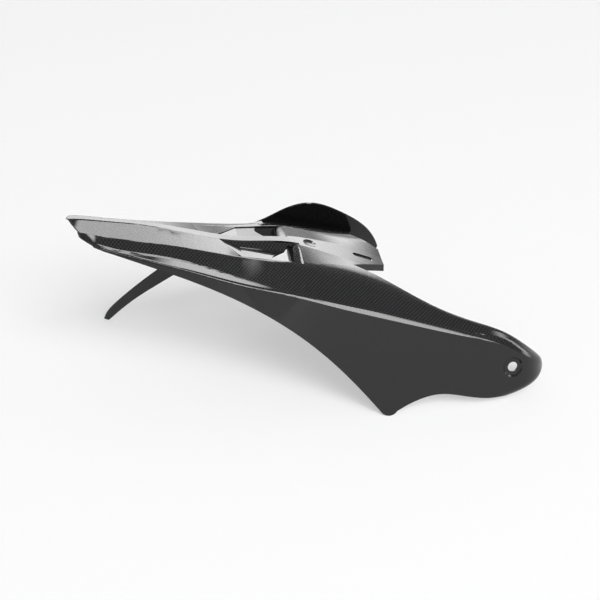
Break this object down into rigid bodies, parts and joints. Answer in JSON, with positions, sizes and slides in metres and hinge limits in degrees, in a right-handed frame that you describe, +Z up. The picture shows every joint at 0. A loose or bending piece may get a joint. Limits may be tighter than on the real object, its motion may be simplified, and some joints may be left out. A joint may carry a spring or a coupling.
{
  "type": "rear hugger mudguard",
  "caption": "Motorcycle rear wheel hugger moulded in carbon fibre: arched tail, side panel with a forward arm, raised chain guard blade, fixing hole and slotted tongue.",
  "frame": {"origin": "centre of the bounding box, on the bench plane that the part lies on", "axes": "+X along the wheel to the front fixing arm, +Y across to the chain side, +Z up"},
  "size_m": [0.568, 0.2716, 0.2342],
  "materials": {
    "carbon": "clear-coated plain-weave carbon fibre, smooth resin inside"
  },
  "bodies": {
    "root": {"hugger_shell": "carbon"}
  },
  "joints": []
}
